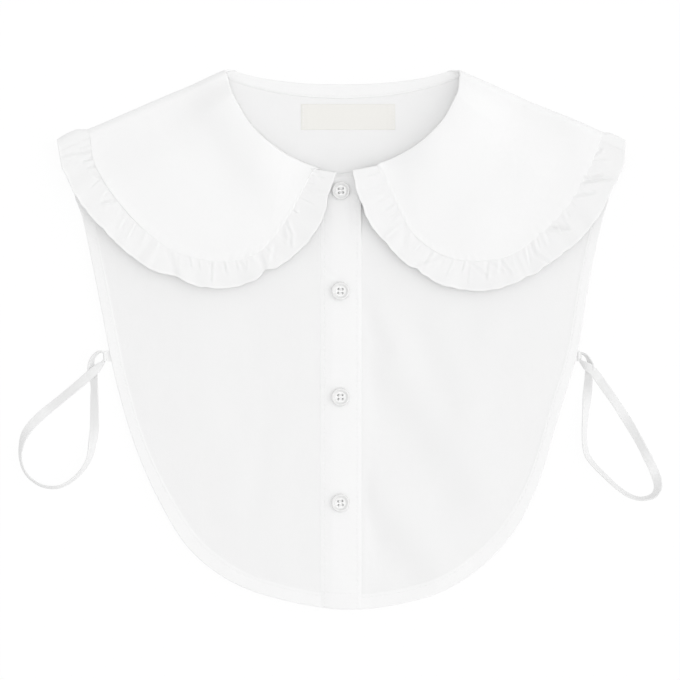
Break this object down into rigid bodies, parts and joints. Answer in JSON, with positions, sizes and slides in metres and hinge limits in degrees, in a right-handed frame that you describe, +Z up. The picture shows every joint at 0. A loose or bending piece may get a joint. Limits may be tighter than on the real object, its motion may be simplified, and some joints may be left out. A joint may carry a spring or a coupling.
{
  "type": "detachable collar",
  "caption": "Detachable bib collar lying face up: round flat collar with gathered frill, buttoned front placket, back panel and elastic side loops.",
  "frame": {"origin": "centre of the underside's box, measured without the side loops, on the surface that the collar lies on", "axes": "+X to the right of the face-up collar, +Y from the hem towards the neck, +Z up from the surface"},
  "size_m": [0.4185, 0.3523, 0.0131],
  "materials": {
    "cotton": "white cotton poplin, plain weave, matt",
    "label_cloth": "ecru woven satin tape, bare",
    "button_resin": "white resin, soft gloss",
    "elastic": "white woven elastic ribbon, slight sheen"
  },
  "bodies": {
    "root": {"back_panel": "cotton", "front_panel_left": "cotton", "front_panel_right": "cotton", "under_placket": "cotton", "placket": "cotton", "collar": "cotton", "frill": "cotton", "neck_binding": "cotton", "label": "label_cloth", "button_1": "button_resin", "button_2": "button_resin", "button_3": "button_resin", "button_4": "button_resin", "tab_left": "cotton", "tab_right": "cotton", "loop_left": "elastic", "loop_right": "elastic"}
  },
  "joints": []
}
